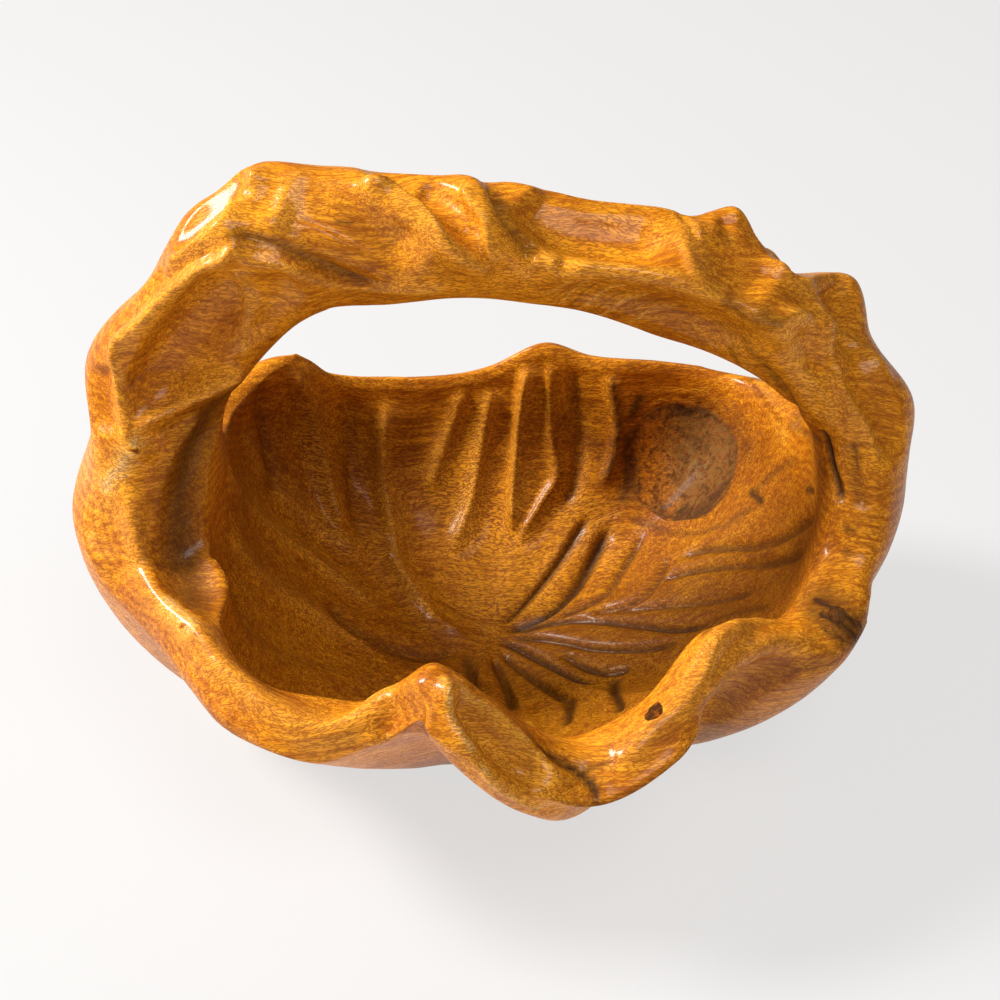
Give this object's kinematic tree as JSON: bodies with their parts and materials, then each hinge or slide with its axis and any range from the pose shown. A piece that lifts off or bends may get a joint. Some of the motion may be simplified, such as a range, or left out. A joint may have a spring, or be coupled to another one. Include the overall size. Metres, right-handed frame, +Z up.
{
  "type": "carved wooden basket bowl",
  "caption": "Hand-carved hardwood dough bowl in the form of a handled basket: an oval fluted bowl with a scalloped rim, a folded tongue at the front and a twisted, ridged hoop handle",
  "frame": {"origin": "middle of the flat foot, on the plane that the bowl rests on", "axes": "+X along the handle, from its left root to its right root as seen from the front; +Y from the front tongue to the back rim; +Z up"},
  "size_m": [0.3005, 0.2393, 0.2317],
  "materials": {
    "bowl_wood": "glossy clear lacquer over amber hardwood",
    "handle_wood": "glossy clear lacquer over amber hardwood",
    "dowel_wood": "bare turned hardwood",
    "knot_wood": "glossy clear lacquer over dark knot wood",
    "bark": "lacquered dark bark and resin",
    "resin": "glossy dark filler"
  },
  "bodies": {
    "root": {"bowl": "bowl_wood", "handle": "handle_wood", "left_dowel": "dowel_wood", "right_dowel": "dowel_wood", "wall_knot": "knot_wood", "knot_bark": "bark", "rim_knot": "knot_wood", "pit_filler": "resin"}
  },
  "joints": []
}
